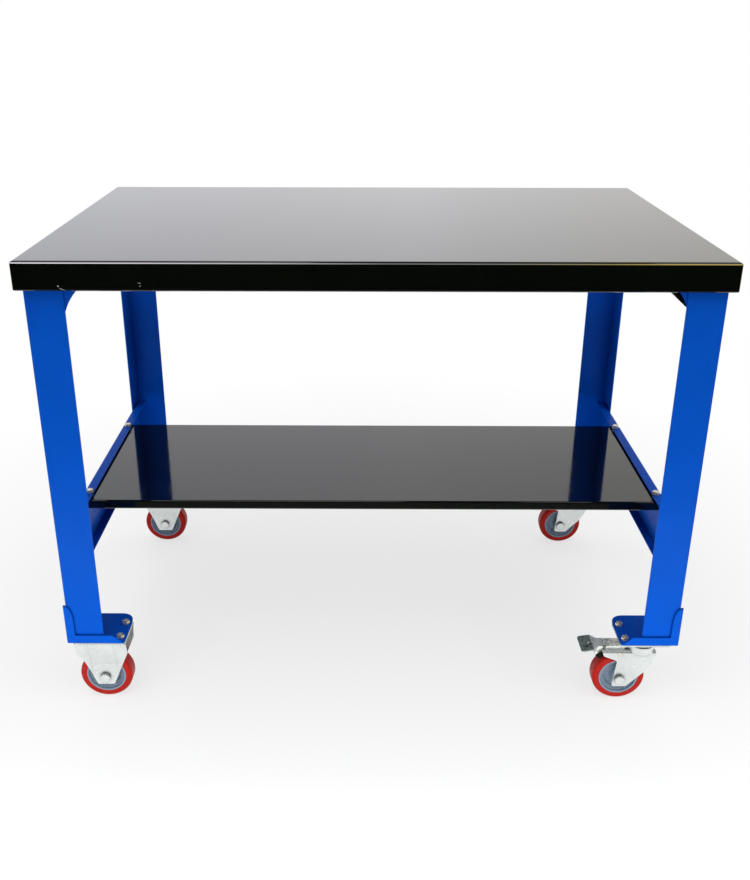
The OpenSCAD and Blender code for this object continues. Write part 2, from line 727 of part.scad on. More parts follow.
// Side view of a swivel fork, with the axle on x = 0
module swivel_outline() polygon(rounded([[-arm_reach, web_z], [fork_back, web_z], [fork_back, web_z - 12],
    [swivel_offset + 20, axle_z + 36], [swivel_offset + 7, axle_z + 15], [15, axle_z - tip_drop],
    [-14, axle_z - tip_drop], [-7.5, web_z - notch_drop], [5 - arm_reach, web_z - arm_drop]],
    [2, 2, 8, 20, 20, 6, 5, 5, 5]));

// End view of a swivel fork, folded over from its web
module swivel_arch() difference() {
    polygon(rounded([[-arm_half, 0], [-arm_half, web_z], [arm_half, web_z], [arm_half, 0]],
        [0, 2*fork_t, 2*fork_t, 0]));
    polygon(rounded([[-gap_half, -cut], [-gap_half, web_z - fork_t], [gap_half, web_z - fork_t],
        [gap_half, -cut]], [0, fork_t, fork_t, 0]));
}

module race_cup() rotate_extrude() polygon([[kingpin_d/2, web_z - fork_t], [race_r, web_z - fork_t],
    [race_r + fork_t, web_z - cup_drop], [cup_d/2 - 2, web_z - cup_drop], [cup_d/2, web_z - cup_drop + 2],
    [cup_d/2, web_z + cup_rise], [cup_inner_r, web_z + cup_rise], [cup_inner_r, web_z], [kingpin_d/2, web_z]]);

module swivel_fork(d) color(zinc) at_swivel(d) difference() {
    union() {
        translate([-swivel_offset, 0, 0]) intersection() {
            along_x(4*plate_l) swivel_arch();
            along_y(2*plate_w) swivel_outline();
        }
        race_cup();
    }
    cylinder(r = kingpin_d/2 + run_gap, h = castor_h);
    translate([-swivel_offset - arm_reach - cut, -slot_half, web_z - fork_t - cut])
        cube([arm_reach + slot_back + cut, 2*slot_half, fork_t + 2*cut]);
    translate([-swivel_offset, 0, 0]) cross_hole(axle_d, axle_z);
    translate([pin_x, 0, 0]) cross_hole(pedal_pin_d, pin_z);
}

module swivel_axle_bolt(d) at_swivel(d) translate([-swivel_offset, 0, 0]) axle_bolt();

module swivel_axle_nut(d) at_swivel(d) translate([-swivel_offset, 0, 0]) axle_nut();

// Brakes

// A point at the distance u out from the axle through the pad, and v along the tyre from there
function pad_point(u, v) =
    [u*cos(pad_angle) - v*sin(pad_angle) - swivel_offset, u*sin(pad_angle) + v*cos(pad_angle) + axle_z];

module pad_outline(u0, u1)
    polygon([for (p = [[u0, -1], [u1, -1], [u1, 1], [u0, 1]]) pad_point(p[0], p[1]*pad_size/2)]);

module brake_pad(d) color(rubber) at_swivel(d) along_y(pad_w) pad_outline(pad_face, pad_seat);

// Plan of the pedal's upper sheet
module pedal_plan() {
    shoulder = tread_end + tread_l;
    polygon(rounded([[tread_end, -tread_w/2], [shoulder, -tread_w/2], [shoulder + pedal_neck, -pedal_w/2],
        [pedal_back, -pedal_w/2], [pedal_back, pedal_w/2], [shoulder + pedal_neck, pedal_w/2],
        [shoulder, tread_w/2], [tread_end, tread_w/2]], [5, 4, 4, 0, 0, 4, 4, 5]));
}

// Side view of the pedal's upper sheet, whose tread slopes down
module pedal_profile() {
    shoulder = tread_end + tread_l;
    polygon([[tread_end, pedal_z - tread_drop], [shoulder, pedal_z], [pedal_back, pedal_z],
        [pedal_back, pedal_z - pedal_t], [shoulder, pedal_z - pedal_t], [tread_end, pedal_z - pedal_t - tread_drop]]);
}

// Side cheek of the pedal, from the eye round the pin to the pad's seat
module pedal_cheek() {
    eye = wheel_d + lug_gap;
    polygon([[pedal_back, pedal_z - pedal_t], [pedal_back, pin_z], [pin_x + 5, eye + 1], [pin_x + 3, eye],
        [pin_x - 3, eye], [pin_x - 12, pin_z + 1], pad_point(pad_seat, -pad_size/2),
        pad_point(pad_seat, pad_size/2), pad_point(pad_seat + pedal_t, pad_size/2),
        [-swivel_offset - arm_reach - 6, pedal_z - pedal_t]]);
}

module brake_pedal(d) color(steel) at_swivel(d) difference() {
    union() {
        intersection() {
            translate([0, 0, wheel_d]) linear_extrude(castor_h - wheel_d) pedal_plan();
            along_y(2*tread_w) pedal_profile();
        }
        for (s = [-1, 1]) translate([0, s*(pedal_w - pedal_t)/2, 0]) along_y(pedal_t) pedal_cheek();
        along_y(pedal_w) pad_outline(pad_seat, pad_seat + pedal_t);
        for (i = [1, 2]) translate([lever_hole_x + lever_hole_d/2 + i*rib_pitch, 0, pedal_z - rib_r + rib_h])
            along_y(pedal_w - 2*pedal_t) circle(r = rib_r);
    }
    translate([lever_hole_x, 0, wheel_d]) cylinder(d = lever_hole_d, h = castor_h - wheel_d);
    translate([pin_x, 0, 0]) cross_hole(pedal_pin_d + 2*run_gap, pin_z);
    translate([tread_end + tread_hole_in, 0, wheel_d]) cylinder(d = tread_hole_d, h = castor_h - wheel_d);
}

module pedal_pin(d) color(zinc) at_swivel(d) translate([pin_x, 0, pin_z]) to_front() {
    translate([0, 0, -arm_half]) cylinder(d = pedal_pin_d, h = 2*arm_half);
    for (s = [0, 1]) mirror([0, 0, s]) translate([0, 0, arm_half])
        cylinder(r1 = 0.8*pedal_pin_d, r2 = 0.55*pedal_pin_d, h = 1.6);
}

// Coil round the pedal's pin, with a straight end on each side
module pedal_spring(d) color(zinc) at_swivel(d) {
    pitch = spring_wire + slide_gap;
    reach = pitch*spring_turns/2;
    coil = [for (i = [0:8*spring_turns])
        [pin_x + spring_r*sin(45*i), pitch*i/8 - reach, pin_z + spring_r*cos(45*i)]];
    ends = [for (s = [-1, 1]) [pin_x + s*spring_leg, s*reach, pin_z + spring_r]];
    wire(concat([ends[0]], coil, [ends[1]]), spring_wire/2);
}

// Wheels

module tyre(c) color(red) at_wheel(c) to_front() rotate_extrude() polygon(rounded(
    [[core_d/2, 1 - wheel_w/2], [core_d/2 + 5, -wheel_w/2], [wheel_d/2, -wheel_w/2], [wheel_d/2, wheel_w/2],
    [core_d/2 + 5, wheel_w/2], [core_d/2, wheel_w/2 - 1]], [0, 0, tyre_shoulder, tyre_shoulder, 0, 0], 10));

module wheel_core(c) color(grey) at_wheel(c) to_front() rotate_extrude() {
    r = core_d/2;
    rim = wheel_w/2 - 1;
    face = [[spacer_r + 1, bore_half], [bearing_d/2, bore_half], [bearing_d/2, hub_l/2], [hub_d/2, hub_l/2],
        [hub_d/2 + 2, 5], [r - 12, 4], [r - 10.5, 9], [r - 8.5, 9], [r - 7.5, 11], [r - 4.5, 11],
        [r - 3.5, rim], [r, rim]];
    polygon(concat(face, [for (i = [len(face) - 1:-1:0]) [face[i][0], -face[i][1]]]));
}

// Two ball bearings with the spacer tube between them
module wheel_bearings(c) color(steel) at_wheel(c) to_front() {
    inner_r = axle_d/2 + run_gap;
    for (z = [-hub_l/2, bore_half]) translate([0, 0, z]) tube(bearing_d/2, inner_r, bearing_w);
    translate([0, 0, run_gap - bore_half]) tube(spacer_r, inner_r, 2*(bore_half - run_gap));
}

worktop_tray();
worktop_stiffeners();
worktop_nuts();
corner_brace();
gussets();
undershelf();
undershelf_stiffener();
undershelf_bolts();
undershelf_nuts();
undershelf_washers();
castor_bolts();
castor_nuts();
kingpins();
race_balls();
for (d = DEPTHS) at_fixed(d) axle_bolt();  // fixed_axle_bolts
for (d = DEPTHS) at_fixed(d) axle_nut();  // fixed_axle_nuts
for (e = ENDS) {
    lower_side_rail(e);
    top_side_rail(e);
}
for (d = DEPTHS) {
    top_long_rail(d);
    fixed_fork(d);
    swivel_plate(d);
    swivel_fork(d);
    swivel_axle_bolt(d);
    swivel_axle_nut(d);
    brake_pedal(d);
    brake_pad(d);
    pedal_pin(d);
    pedal_spring(d);
}
for (c = CORNERS) {
    leg(c);
    foot_bracket(c);
    tyre(c);
    wheel_core(c);
    wheel_bearings(c);
}
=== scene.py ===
import json
from math import cos, pi, sin

import bpy
from mathutils import Matrix, Vector


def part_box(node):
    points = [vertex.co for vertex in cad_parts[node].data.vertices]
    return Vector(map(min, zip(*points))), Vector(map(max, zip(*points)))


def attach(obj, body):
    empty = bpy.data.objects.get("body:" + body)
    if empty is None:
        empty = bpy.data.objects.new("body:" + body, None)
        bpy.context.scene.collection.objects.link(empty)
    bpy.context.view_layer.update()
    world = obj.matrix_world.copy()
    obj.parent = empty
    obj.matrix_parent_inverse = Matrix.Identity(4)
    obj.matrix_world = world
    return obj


# Looks of the mobile workbench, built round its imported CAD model.
# Metres. X runs from left to right, Y from front to back and Z up from the floor.

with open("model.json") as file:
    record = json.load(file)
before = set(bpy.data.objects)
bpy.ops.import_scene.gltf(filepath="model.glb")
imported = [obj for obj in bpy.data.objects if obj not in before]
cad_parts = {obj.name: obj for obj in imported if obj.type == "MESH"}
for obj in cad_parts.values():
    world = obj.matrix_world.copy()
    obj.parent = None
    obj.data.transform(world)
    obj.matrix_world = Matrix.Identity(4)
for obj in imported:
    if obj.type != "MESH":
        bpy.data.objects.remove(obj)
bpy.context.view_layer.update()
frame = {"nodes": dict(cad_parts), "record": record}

ENDS = {"left": -1, "right": 1}
DEPTHS = {"front": -1, "rear": 1}

# Camera, from the photograph's lines. Its sensor is given in millimetres.
CAMERA_PLACE = (-0.019691, -1.931853, 1.275650)
PITCH = 0.3952
YAW = -0.0049
ROLL = 0.0014
FOCAL_PIXELS = 969.471
AXIS_PIXEL = (358.666, 420.043)
FRAME_PIXELS = (750, 880)
SENSOR_MM = 24

# Castors and the bolts through their plates
CASTOR_X = 0.534
CASTOR_Y = 0.316
PLATE_HOLE_X = 0.039
PLATE_HOLE_Y = 0.024
CASTORS = [(x, y) for x in (-CASTOR_X, CASTOR_X) for y in (-CASTOR_Y, CASTOR_Y)]
PLATE_HOLES = [(x, y) for x in (-PLATE_HOLE_X, PLATE_HOLE_X) for y in (-PLATE_HOLE_Y, PLATE_HOLE_Y)]

# Axle bolts, and the ends of the bearings in a wheel's hub
SWIVEL_AXLE_X = 0.494
AXLE_Z = 0.052
AXLE_D = 0.010
AXLE_PITCH = 0.0015
HUB_HALF = 0.018
BEARING_R = 0.0118
SHIELD_R = 0.0068

# Bolts of the plates and the shelf, and the plain point that every bolt has past its thread
BOLT_D = 0.008
BOLT_PITCH = 0.00125
BOLT_POINT = 0.0004
SHELF_BOLT_X = 0.576
SHELF_BOLT_Y = (-0.167, 0.177)
SHELF_BOLTS = [(x, y) for x in (-SHELF_BOLT_X, SHELF_BOLT_X) for y in SHELF_BOLT_Y]

# Weld beads: how far their middle lies off a face, and what they leave free at an end
LEG_SHEET = 0.0025
RAIL_BEAD_R = 0.0021
RAIL_BEAD_OFF = 0.0008
RAIL_BEAD_FREE = 0.006
FOOT_BEAD_R = 0.0022
FOOT_BEAD_OFF = 0.0006
FOOT_BEAD_FREE = 0.004
BEAD_STEP = 0.0009
BEAD_RIPPLE = 0.0024
BEAD_SWELL = 0.13
BEAD_SIDES = 8

# Rings and threads: steps to a turn, and the half width of a thread's crest in pitches
RING_STEPS = 64
THREAD_STEPS = 20
CREST_HALF = 0.28
CREST_SIDES = 4

# Finishes: the range that most of a noise pattern lies in, and the samples of corner shading
NOISE_LOW = 0.3
NOISE_HIGH = 0.7
CORNER_SAMPLES = 8

# Knocked spots on the front of the top: x, z, half length, half height, slope and strength.
# They fade out over this range of y, behind the front face.
KNOCKS = [
    (-0.5234, 0.8633, 0.0010, 0.0008, 0, 1.8),
    (-0.5168, 0.8578, 0.0044, 0.0005, -0.45, 0.9),
    (-0.3887, 0.8689, 0.0024, 0.0006, 0, 0.6),
    (-0.3878, 0.8638, 0.0016, 0.0009, 0, 0.3),
    (-0.3668, 0.8555, 0.0010, 0.0006, 0, 0.7),
]
KNOCKS_Y = (-0.3740, -0.3720)

# A brake pedal's tread ends and its lever begins over this range of x, and with it the tread's painted
# dark reflection
TREAD_END_X = (0.4360, 0.4385)

# Floor: half its width, its colour, and how it goes over to the plain background with the
# distance from its middle, as from low, from high, to low and to high
FLOOR_HALF = 30
FLOOR_WHITE = (0.92, 0.92, 0.92)
FLOOR_FADE = (0.7, 1.6, 0.68, 1)

# Cards that only reflections show: a dark one ahead of the bench and a bright one over its
# front edge. profile has (y, z) corners, half is half the width, fade gives the glow along Y,
# colours has (x, colour) stops, and reflections from further off than reach don't show it.
CARDS = {
    "dark_card": {
        "profile": [(-0.62, 0.003), (-8, 0.003), (-8, 5)],
        "half": 20,
        "fade": (-1.3, -0.62, 0.002, 0.16),
        "colours": [(0, (1, 1, 1))],
        "reach": 100,
    },
    "bright_card": {
        "profile": [(-0.455, 1.11), (-0.85, 1.11)],
        "half": 0.9,
        "fade": (-0.85, -0.62, 1, 15),
        "colours": [
            (-0.64, (0.96, 0.90, 1.00)),
            (-0.20, (0.50, 0.48, 0.54)),
            (0.03, (0.20, 0.20, 0.21)),
            (0.27, (0.22, 0.22, 0.19)),
            (0.46, (0.32, 0.26, 0.10)),
            (0.58, (0.55, 0.40, 0.12)),
        ],
        "reach": 0.55,
    },
}

# The room by direction: what lights the bench grows with height, and what reflections show
# goes through three colours from left to right and gets darker with height in two steps
SKY_FADE = (0.1, 0.7, 0.18, 0.62)
ROOM_WIDTH = (-0.35, 0.45)
ROOM_COLOURS = [(0, (1.00, 1.01, 1.08)), (0.5, (1.10, 1.09, 1.12)), (1, (0.82, 0.81, 0.75))]
WALL_FADE = (0.24, 0.42, 1, 0.84)
CEILING_FADE = (0.50, 0.60, 1, 0.07)
WHITE = (1, 1, 1)

# Soft lamps: name, place, aim, width, height, power, and whether shiny faces show them
LAMPS = [
    ("key", (-1.1, -1.7, 3.2), (0, 0, 0.5), 2.4, 2.4, 30, True),
    ("fill", (1.9, -1.2, 2.7), (0, 0, 0.5), 2.0, 2.0, 16, True),
    ("top", (0, 0.4, 3.2), (0, 0, 0.5), 3.0, 3.0, 22, False),
    ("low_front", (0, -0.85, 0.08), (0, 0, 0.08), 2.4, 0.12, 5, False),
]


# Meshes

def add_mesh(name, points, faces, material):
    """An object of the scene, made from points and faces."""
    mesh = bpy.data.meshes.new(name)
    mesh.from_pydata([tuple(p) for p in points], [], faces)
    mesh.materials.append(material)
    made = bpy.data.objects.new(name, mesh)
    bpy.context.scene.collection.objects.link(made)
    return made


def piece(name, points, faces, body, slot):
    """A smooth piece that rides on a body and takes the finish of a material slot."""
    made = add_mesh(name, points, faces, FINISHES[slot])
    made.data.polygons.foreach_set("use_smooth", [True]*len(made.data.polygons))
    made.data.update()
    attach(made, body)


def sweep(path, radius, sides):
    """Points and faces of a closed tube along a path. radius(i) is its radius at point i."""
    last = len(path) - 1
    points = []
    for i, p in enumerate(path):
        way = (path[min(i + 1, last)] - path[max(i - 1, 0)]).normalized()
        across = way.orthogonal().normalized() if i == 0 else (across - across.dot(way)*way).normalized()
        other = way.cross(across)
        for k in range(sides):
            turn = 2*pi*k/sides
            points.append(p + radius(i)*(cos(turn)*across + sin(turn)*other))
    faces = [
        (i*sides + k, i*sides + (k + 1) % sides, (i + 1)*sides + (k + 1) % sides, (i + 1)*sides + k)
        for i in range(last) for k in range(sides)
    ]
    faces.append(tuple(reversed(range(sides))))
    faces.append(tuple(last*sides + k for k in range(sides)))
    return points, faces


def join(parts):
    """One list of points and one of faces from several (points, faces) pairs."""
    points, faces = [], []
    for some_points, some_faces in parts:
        start = len(points)
        points.extend(some_points)
        faces.extend(tuple(start + k for k in f) for f in some_faces)
    return points, faces


def spokes(axis, count):
    """Unit vectors spread evenly round an axis."""
    across = axis.orthogonal().normalized()
    other = axis.cross(across)
    turns = [2*pi*i/count for i in range(count)]
    return [cos(turn)*across + sin(turn)*other for turn in turns]


def lathe(profile, centre, axis):
    """Closed ring turned about an axis. profile gives (radius, height along the axis) pairs."""
    count = len(profile)
    points = [centre + r*spoke + h*axis for spoke in spokes(axis, RING_STEPS) for r, h in profile]
    faces = []
    for i in range(RING_STEPS):
        j = (i + 1) % RING_STEPS
        for k in range(count):
            m = (k + 1) % count
            faces.append((i*count + k, j*count + k, j*count + m, i*count + m))
    return points, faces


def taper(i, last, tip, growth):
    """1 along most of a path of points 0 to last, and down to tip at its two ends."""
    return min(1, tip + growth*min(i, last - i))


def bead(corners, radius):
    """Weld bead along straight runs between corners, with the ripples of its pools."""
    path = []
    for a, b in zip(corners, corners[1:]):
        a, b = Vector(a), Vector(b)
        count = max(2, int((b - a).length/BEAD_STEP))
        path.extend(a.lerp(b, i/count) for i in range(count))
    path.append(Vector(corners[-1]))
    last = len(path) - 1

    def size(i):
        ripple = 1 + BEAD_SWELL*cos(2*pi*i*BEAD_STEP/BEAD_RIPPLE)
        return radius*taper(i, last, tip=0.35, growth=0.25)*ripple

    return sweep(path, size, BEAD_SIDES)


def thread(centre, axis, diameter, length, pitch):
    """Crest of a screw thread round a bolt's end, from centre along axis."""
    centre, axis = Vector(centre), Vector(axis)
    last = int(THREAD_STEPS*length/pitch)
    ring = spokes(axis, THREAD_STEPS)
    path = [centre + diameter/2*ring[i % THREAD_STEPS] + axis*length*i/last for i in range(last + 1)]
    return sweep(path, lambda i: CREST_HALF*pitch*taper(i, last, tip=0.3, growth=0.1), CREST_SIDES)


# Materials

class Nodes:
    """Short calls for the nodes of one tree. Values are numbers or sockets of other nodes."""

    def __init__(self, tree, space):
        self.tree = tree
        self.place = self.add("TexCoord").outputs[space]

    def add(self, kind):
        return self.tree.nodes.new("ShaderNode" + kind)

    def link(self, source, target):
        """Set the target socket to a number, or link another socket to it."""
        if isinstance(source, (int, float)):
            target.default_value = source
        else:
            self.tree.links.new(source, target)

    def along(self, axis):
        """The place's own X, Y or Z."""
        split = self.add("SeparateXYZ")
        self.link(self.place, split.inputs[0])
        return split.outputs[axis]

    def spread(self, value, low, high, to_low=0.0, to_high=1.0):
        """value moved from the range low..high to to_low..to_high, and held there."""
        node = self.add("MapRange")
        self.link(value, node.inputs["Value"])
        self.link(low, node.inputs["From Min"])
        self.link(high, node.inputs["From Max"])
        self.link(to_low, node.inputs["To Min"])
        self.link(to_high, node.inputs["To Max"])
        return node.outputs["Result"]

    def maths(self, operation, a, b=0.0):
        node = self.add("Math")
        node.operation = operation
        self.link(a, node.inputs[0])
        self.link(b, node.inputs[1])
        return node.outputs[0]

    def blend(self, factor, a, b):
        """Colour a where factor is 0, b where it is 1. a and b are colours or sockets."""
        node = self.add("Mix")
        node.data_type = "RGBA"
        self.link(factor, node.inputs["Factor"])
        for socket, colour in (("A", a), ("B", b)):
            target = [s for s in node.inputs if s.name == socket and s.type == "RGBA"][0]
            if isinstance(colour, tuple):
                target.default_value = (*colour, 1)
            else:
                self.link(colour, target)
        return [s for s in node.outputs if s.type == "RGBA"][0]

    def ramp(self, place, stops):
        """The colour at a place between 0 and 1, from (place, colour) stops."""
        node = self.add("ValToRGB")
        elements = node.color_ramp.elements
        elements.remove(elements[1])
        for i, (at, colour) in enumerate(stops):
            element = elements.new(at) if i else elements[0]
            element.position = at
            element.color = (*colour, 1)
        self.link(place, node.inputs["Fac"])
        return node.outputs["Color"]

    def background_rays(self):
        """1 for rays that show the background: camera, glossy and transmission rays."""
        path = self.add("LightPath").outputs
        direct = self.maths("MAXIMUM", path["Is Camera Ray"], path["Is Glossy Ray"])
        return self.maths("MAXIMUM", direct, path["Is Transmission Ray"])

    def surface(self, output, factor, a, b):
        """The output node shows shader node a where factor is 0, and b where it is 1."""
        mix = self.add("MixShader")
        self.link(factor, mix.inputs[0])
        self.link(a.outputs[0], mix.inputs[1])
        self.link(b.outputs[0], mix.inputs[2])
        self.link(mix.outputs[0], self.tree.nodes[output].inputs["Surface"])


class Finish(Nodes):
    """A material round one Principled shader, with calls for its patterns and detail."""

    def __init__(self, name, values):
        self.material = bpy.data.materials.new(name)
        self.material.use_nodes = True
        super().__init__(self.material.node_tree, "Object")
        self.shader = self.tree.nodes["Principled BSDF"]
        for socket, value in values.items():
            self.shader.inputs[socket].default_value = value

    def noise(self, scale, detail, stretch=(1, 1, 1)):
        """Soft noise with about scale patches to the metre."""
        mapping = self.add("Mapping")
        mapping.inputs["Scale"].default_value = stretch
        self.link(self.place, mapping.inputs["Vector"])
        noise = self.add("TexNoise")
        noise.inputs["Scale"].default_value = scale
        noise.inputs["Detail"].default_value = detail
        self.link(mapping.outputs["Vector"], noise.inputs["Vector"])
        return noise.outputs["Fac"]

    def cells(self, scale):
        """Cells of one random tone each, about scale of them to the metre."""
        voronoi = self.add("TexVoronoi")
        voronoi.inputs["Scale"].default_value = scale
        self.link(self.place, voronoi.inputs["Vector"])
        tone = self.add("RGBToBW")
        self.link(voronoi.outputs["Color"], tone.inputs["Color"])
        return tone.outputs["Val"]

    def corners(self, distance, low, high):
        """Mask for painted shade: 0 deep in a corner or gap narrower than distance, 1 on an open face.
        """
        node = self.add("AmbientOcclusion")
        node.samples = CORNER_SAMPLES
        node.inputs["Distance"].default_value = distance
        return self.spread(node.outputs["AO"], low, high)

    def colour(self, source):
        self.link(source, self.shader.inputs["Base Color"])

    def roughness(self, pattern, smooth, rough, high=NOISE_HIGH):
        """Roughness between smooth and rough, as the noise pattern goes from low to high."""
        source = self.spread(pattern, NOISE_LOW, high, smooth, rough)
        self.link(source, self.shader.inputs["Roughness"])

    def bump(self, *layers):
        """Layers of (height, depth in metres), one on the other."""
        normal = None
        for height, depth in layers:
            node = self.add("Bump")
            node.inputs["Distance"].default_value = depth
            self.link(height, node.inputs["Height"])
            if normal:
                self.link(normal, node.inputs["Normal"])
            normal = node.outputs["Normal"]
        self.link(normal, self.shader.inputs["Normal"])


def knocked_spots(f):
    """Over 0 where the paint is knocked off the front of the top, and 0 elsewhere."""

    def near(offset, half, strength):
        """strength up to half away from a middle, and softly down to 0 beyond."""
        return f.spread(f.maths("ABSOLUTE", offset), 0.7*half, 1.3*half, strength, 0)

    here_x, here_z = f.along("X"), f.along("Z")
    marks = 0.0
    for x, z, half_x, half_z, slope, strength in KNOCKS:
        run = f.maths("SUBTRACT", here_x, x)
        rise = f.maths("SUBTRACT", f.maths("SUBTRACT", here_z, z), f.maths("MULTIPLY", run, slope))
        spot = f.maths("MULTIPLY", near(run, half_x, 1), near(rise, half_z, strength))
        marks = f.maths("ADD", marks, spot)
    broken = f.maths("MULTIPLY", marks, f.spread(f.noise(700, 2), 0.35, 0.5, 0.4, 1))
    return f.maths("MULTIPLY", f.spread(f.along("Y"), *KNOCKS_Y, 1, 0), broken)


def black_paint():
    """Glossy black stove paint with orange peel, faint smears and two knocked places at the front."""
    f = Finish("black_paint", {"IOR": 1.5, "Coat Weight": 0.4, "Coat Roughness": 0.03})
    thick = (0.0012, 0.0022, 0.0010)
    thin = (0.0030, 0.0042, 0.0024)
    bare_steel = (0.62, 0.60, 0.56)
    f.colour(f.blend(knocked_spots(f), f.blend(f.noise(9, 4), thick, thin), bare_steel))
    f.roughness(f.noise(5, 5, (1, 2.5, 1)), 0.045, 0.12, high=0.75)
    f.bump((f.noise(420, 2), 0.000012), (f.noise(60, 2), 0.00003))
    return f.material


def blue_paint():
    """Blue powder coat: a fine dimpled skin, a little thicker and darker in patches, with painted shade
    in corners and gaps.
    """
    f = Finish("blue_paint", {"IOR": 1.12})
    # Painted shade: the colour that corners and gaps narrower than 6 mm take.
    painted_shade = (0.0001, 0.022, 0.20)
    thick = (0.0002, 0.070, 0.47)
    thin = (0.0005, 0.088, 0.56)
    f.colour(f.blend(f.corners(0.006, 0.3, 0.8), painted_shade, f.blend(f.noise(14, 4), thick, thin)))
    f.roughness(f.noise(90, 3), 0.26, 0.38)
    f.bump((f.noise(400, 1), 0.000006), (f.noise(120, 1), 0.000015))
    return f.material


def zinc(name, light, dark, rough, gap):
    """Zinc plating: cells of slightly different tone, cloudy patches and fine rolling lines.

    Corners and gaps narrower than gap are darkened with painted shade."""
    f = Finish(name, {"Metallic": 0.8})
    cell_share = 0.3
    corner_shade = 0.35
    # Painted shade: the colour that corners and gaps narrower than gap take.
    painted_shade = tuple(corner_shade*c for c in dark)
    clouds = f.maths("MULTIPLY", f.spread(f.noise(22, 5), NOISE_LOW, NOISE_HIGH), 1 - cell_share)
    tone = f.maths("ADD", clouds, f.maths("MULTIPLY", f.cells(420), cell_share))
    f.colour(f.blend(f.corners(gap, 0.5, 0.96), painted_shade, f.blend(tone, dark, light)))
    f.roughness(f.noise(130, 4), rough - 0.05, rough + 0.07)
    f.bump((f.noise(600, 3), 0.00002), (f.noise(45, 3, (1, 1, 3)), 0.00012))
    return f.material


def plated_pedal():
    """Plating of the brake pedals: a lever light and dark in noise patches, and a tread darkened as a
    painted reflection of the dark underside above it.
    """
    f = Finish("plated_pedal", {"Metallic": 0.5})
    patch_pattern = f.spread(f.noise(75, 4), 0.33, 0.49)
    lever = f.blend(patch_pattern, (0.10, 0.12, 0.10), (0.86, 0.90, 0.84))
    # Painted reflection: the tread's dark colours stand for the dark underside it mirrors.
    tread_painted_dark = f.blend(patch_pattern, (0.06, 0.08, 0.08), (0.24, 0.30, 0.28))
    f.colour(f.blend(f.spread(f.along("X"), *TREAD_END_X, 1, 0), lever, tread_painted_dark))
    f.roughness(f.noise(130, 4), 0.22, 0.40)
    f.bump((f.noise(600, 3), 0.00002), (f.noise(120, 3), 0.0002))
    return f.material


def bright_steel():
    """Ground steel with fine turning lines."""
    f = Finish("bright_steel", {"Metallic": 1.0})
    f.colour(f.blend(f.noise(60, 4), (0.52, 0.53, 0.54), (0.70, 0.71, 0.72)))
    f.roughness(f.noise(300, 3), 0.14, 0.28)
    f.bump((f.noise(700, 2, (1, 6, 1)), 0.00001))
    return f.material


def pad_rubber():
    """Matt black rubber with a pitted skin."""
    f = Finish("pad_rubber", {"IOR": 1.45, "Specular IOR Level": 0.12})
    f.colour(f.blend(f.noise(80, 4), (0.004, 0.004, 0.004), (0.009, 0.009, 0.008)))
    f.roughness(f.noise(200, 3), 0.5, 0.75)
    f.bump((f.noise(900, 3), 0.0001))
    return f.material


def red_tyre():
    """Cast red polyurethane, satin, with faint flow marks and floor dust."""
    f = Finish("red_tyre", {"IOR": 1.45, "Specular IOR Level": 0.2})
    dusty = (0.42, 0.06, 0.04)
    dust_share = 0.15
    cast = f.blend(f.noise(26, 4), (0.32, 0.006, 0.002), (0.43, 0.011, 0.005))
    dust = f.maths("MULTIPLY", f.spread(f.noise(120, 5), 0.52, 0.7), dust_share)
    f.colour(f.blend(dust, cast, dusty))
    f.roughness(f.noise(70, 4), 0.30, 0.48)
    f.bump((f.noise(500, 2), 0.00003), (f.noise(55, 3), 0.0001))
    return f.material


def grey_core():
    """Moulded grey-blue nylon, with the soft mottling of the mould."""
    f = Finish("grey_core", {"IOR": 1.45})
    f.colour(f.blend(f.noise(30, 4), (0.145, 0.20, 0.27), (0.21, 0.27, 0.34)))
    f.roughness(f.noise(110, 3), 0.38, 0.52)
    f.bump((f.noise(650, 2), 0.00004))
    return f.material


FINISHES = {
    "black_paint": black_paint(),
    "blue_paint": blue_paint(),
    "plated_fastener": zinc(
        "plated_fastener", light=(0.92, 0.87, 0.72), dark=(0.80, 0.73, 0.55), rough=0.27, gap=0.002
    ),
    "plated_fork": zinc(
        "plated_fork", light=(0.82, 0.86, 0.84), dark=(0.69, 0.73, 0.72), rough=0.30, gap=0.009
    ),
    "plated_pedal": plated_pedal(),
    "bright_steel": bright_steel(),
    "pad_rubber": pad_rubber(),
    "red_tyre": red_tyre(),
    "grey_core": grey_core(),
}


def finish_nodes():
    """Give each node of the frame the finish of its material slot."""
    for part in frame["record"]["subparts"]:
        node = frame["nodes"].get(part["node"])
        if node:
            node.data.materials.clear()
            node.data.materials.append(FINISHES[part["material_slot"]])


# Pieces on the frame

def rail_welds():
    """Upright beads where the legs' free edges meet the lower side rails."""
    beads = []
    for end, side in ENDS.items():
        low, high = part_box(f"lower_side_rail_{end}")
        x = (high.x if side > 0 else low.x) + side*RAIL_BEAD_OFF
        for depth in DEPTHS:
            leg_low, leg_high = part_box(f"leg_{depth}_{end}")
            y = leg_high.y if depth == "front" else leg_low.y
            run = [(x, y, low.z + RAIL_BEAD_FREE), (x, y, high.z - RAIL_BEAD_FREE)]
            beads.append(bead(run, RAIL_BEAD_R))
    piece("rail_welds", *join(beads), "bench", "blue_paint")


def foot_welds():
    """Beads round the inner side of each leg's foot, on its bracket."""
    beads = []
    for end, side in ENDS.items():
        for depth, way in DEPTHS.items():
            low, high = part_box(f"leg_{depth}_{end}")
            outer_x, inner_x = (high.x, low.x) if side > 0 else (low.x, high.x)
            outer_y, inner_y = (high.y, low.y) if way > 0 else (low.y, high.y)
            x = outer_x - side*(LEG_SHEET + FOOT_BEAD_OFF)
            y = outer_y - way*(LEG_SHEET + FOOT_BEAD_OFF)
            z = low.z + FOOT_BEAD_OFF
            start = (inner_x + side*FOOT_BEAD_FREE, y, z)
            stop = (x, inner_y + way*FOOT_BEAD_FREE, z)
            beads.append(bead([start, (x, y, z), stop], FOOT_BEAD_R))
    piece("foot_welds", *join(beads), "bench", "blue_paint")


